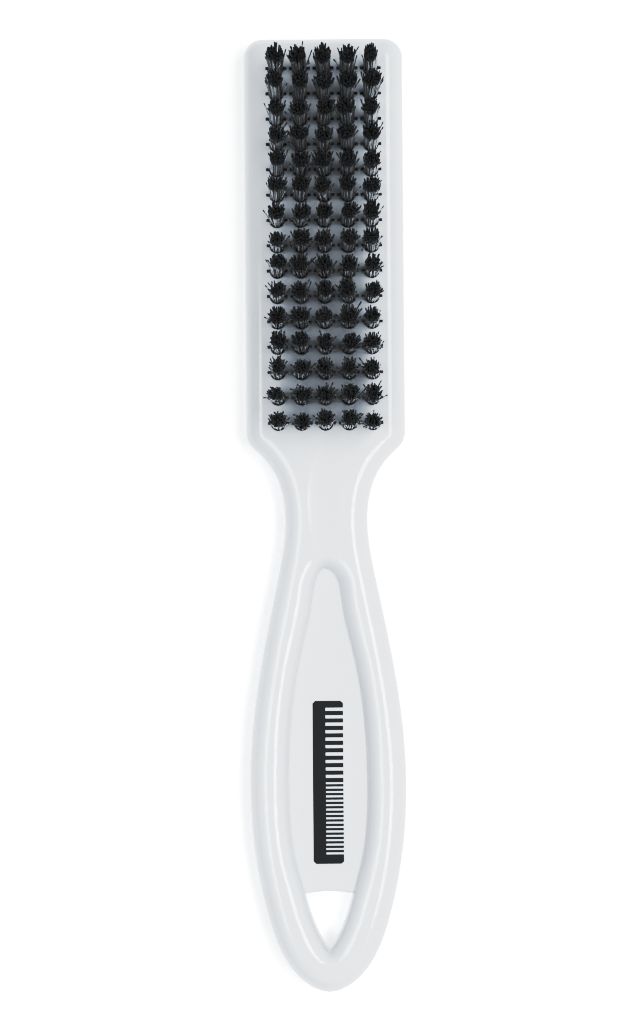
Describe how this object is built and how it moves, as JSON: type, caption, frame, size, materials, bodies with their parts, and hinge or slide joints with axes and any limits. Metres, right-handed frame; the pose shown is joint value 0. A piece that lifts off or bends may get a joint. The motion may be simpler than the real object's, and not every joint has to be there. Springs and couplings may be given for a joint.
{
  "type": "fade brush",
  "caption": "Flat barber's cleaning brush: slim one-piece plastic handle with a hanging hole and a long head of staple-set nylon tufts.",
  "frame": {"origin": "under the middle of the brush, on the plane of its flat back that it lies on", "axes": "+X across the brush, +Y along it towards the head end, +Z out of the face the way the bristles point"},
  "size_m": [0.0296, 0.178, 0.024],
  "materials": {
    "white_plastic": "glossy injection-moulded white",
    "bristle_nylon": "black nylon monofilament",
    "anchor_wire": "plain flat wire"
  },
  "bodies": {
    "root": {"handle": "white_plastic", "tuft_row_01": "bristle_nylon", "tuft_row_02": "bristle_nylon", "tuft_row_03": "bristle_nylon", "tuft_row_04": "bristle_nylon", "tuft_row_05": "bristle_nylon", "tuft_row_06": "bristle_nylon", "tuft_row_07": "bristle_nylon", "tuft_row_08": "bristle_nylon", "tuft_row_09": "bristle_nylon", "tuft_row_10": "bristle_nylon", "tuft_row_11": "bristle_nylon", "tuft_row_12": "bristle_nylon", "tuft_row_13": "bristle_nylon", "tuft_row_14": "bristle_nylon", "tuft_row_15": "bristle_nylon", "anchor_row_01": "anchor_wire", "anchor_row_02": "anchor_wire", "anchor_row_03": "anchor_wire", "anchor_row_04": "anchor_wire", "anchor_row_05": "anchor_wire", "anchor_row_06": "anchor_wire", "anchor_row_07": "anchor_wire", "anchor_row_08": "anchor_wire", "anchor_row_09": "anchor_wire", "anchor_row_10": "anchor_wire", "anchor_row_11": "anchor_wire", "anchor_row_12": "anchor_wire", "anchor_row_13": "anchor_wire", "anchor_row_14": "anchor_wire", "anchor_row_15": "anchor_wire"}
  },
  "joints": []
}
